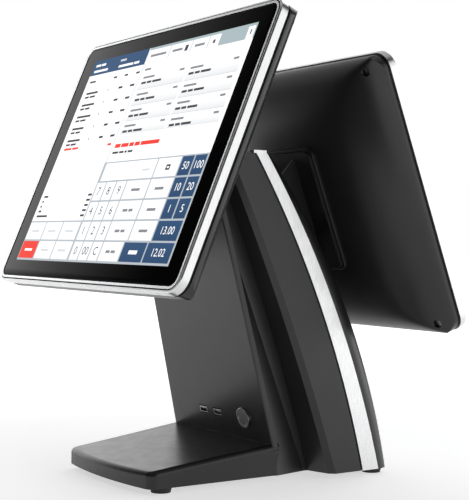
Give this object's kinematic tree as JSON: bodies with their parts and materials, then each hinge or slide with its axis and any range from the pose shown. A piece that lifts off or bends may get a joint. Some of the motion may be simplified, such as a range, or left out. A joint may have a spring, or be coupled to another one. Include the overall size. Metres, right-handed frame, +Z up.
{
  "type": "pos touchscreen terminal",
  "caption": "Point-of-sale terminal: operator touchscreen and rear-facing customer display tilting on one leaning column with a low wedge foot.",
  "frame": {"origin": "on the counter surface, under the middle of the bounding box at rest: the mount counter_rest_front is 106 mm in front of it and 67 mm to the right", "axes": "+X operator's right, -Y towards the operator, +Y towards the customer, +Z up"},
  "size_m": [0.3598, 0.3236, 0.435],
  "materials": {
    "black_plastic": "semi-gloss moulded black, fine texture",
    "bright_metal": "bright chrome",
    "circuit_board": "green solder mask",
    "display_module": "satin metal back, dark front",
    "foot_rubber": "matt rubber",
    "groove_plastic": "matt black",
    "painted_steel": "black powder coat",
    "port_metal": "tinned shells",
    "port_plastic": "black moulded",
    "screen_glass": "smooth touch glass, black printed border",
    "screw_steel": "machined steel",
    "seam_rubber": "matt black",
    "silver_metal": "satin silver",
    "sink_aluminium": "black anodised fins",
    "speaker_metal": "black basket",
    "washer_nylon": "natural nylon",
    "zinc_steel": "zinc plated sheet"
  },
  "bodies": {
    "stand": {"base_plate": "painted_steel", "base_screws": "screw_steel", "button_bezel": "bright_metal", "button_switch": "port_plastic", "column_frame": "zinc_steel", "customer_arm": "painted_steel", "customer_hinge_pin": "screw_steel", "customer_hinge_washers": "washer_nylon", "front_cover": "black_plastic", "front_port_board": "circuit_board", "front_port_shells": "bright_metal", "front_port_tongues": "port_plastic", "heat_sink": "sink_aluminium", "main_hinge_bracket": "painted_steel", "main_hinge_pin": "screw_steel", "main_hinge_washers": "washer_nylon", "memory_module": "circuit_board", "motherboard": "circuit_board", "power_supply_board": "circuit_board", "rear_connectors": "port_metal", "rear_io_board": "circuit_board", "rear_io_plate": "zinc_steel", "rubber_feet": "foot_rubber", "side_cover_left": "black_plastic", "side_cover_right": "black_plastic", "solid_state_drive": "circuit_board", "speaker": "speaker_metal", "stand_rear_cover": "black_plastic", "top_cap": "black_plastic", "trim_strip_left": "silver_metal", "trim_strip_right": "silver_metal"},
    "main_display": {"main_chassis": "zinc_steel", "main_chrome_lip": "bright_metal", "main_cover_glass": "screen_glass", "main_cover_screws": "screw_steel", "main_driver_board": "circuit_board", "main_groove_ring": "groove_plastic", "main_hinge_plate": "painted_steel", "main_lcd_panel": "display_module", "main_plate_screws": "screw_steel", "main_rear_cover": "black_plastic", "main_seam_gasket": "seam_rubber", "main_silver_frame": "silver_metal", "main_touch_controller": "circuit_board"},
    "customer_display": {"customer_chassis": "zinc_steel", "customer_chrome_lip": "bright_metal", "customer_cover_glass": "screen_glass", "customer_cover_screws": "screw_steel", "customer_driver_board": "circuit_board", "customer_groove_ring": "groove_plastic", "customer_hinge_plate": "painted_steel", "customer_lcd_panel": "display_module", "customer_plate_screws": "screw_steel", "customer_rear_cover": "black_plastic", "customer_seam_gasket": "seam_rubber", "customer_silver_frame": "silver_metal", "customer_touch_controller": "circuit_board"},
    "power_button": {"power_button": "bright_metal"}
  },
  "joints": [
    {"name": "main_display_tilt", "type": "hinge", "parent": "stand", "child": "main_display", "pos_m": [0, -0.04809, 0.28406], "axis": [-1, 0, 0], "range_deg": [-15, 25]},
    {"name": "customer_display_tilt", "type": "hinge", "parent": "stand", "child": "customer_display", "pos_m": [0, 0.05463, 0.25098], "axis": [1, 0, 0], "range_deg": [-15, 10]},
    {"name": "power_button_press", "type": "slide", "parent": "stand", "child": "power_button", "axis": [0, 0.9724, 0.2334], "range_m": [0, 0.0008], "stiffness_N_per_m": 800}
  ]
}
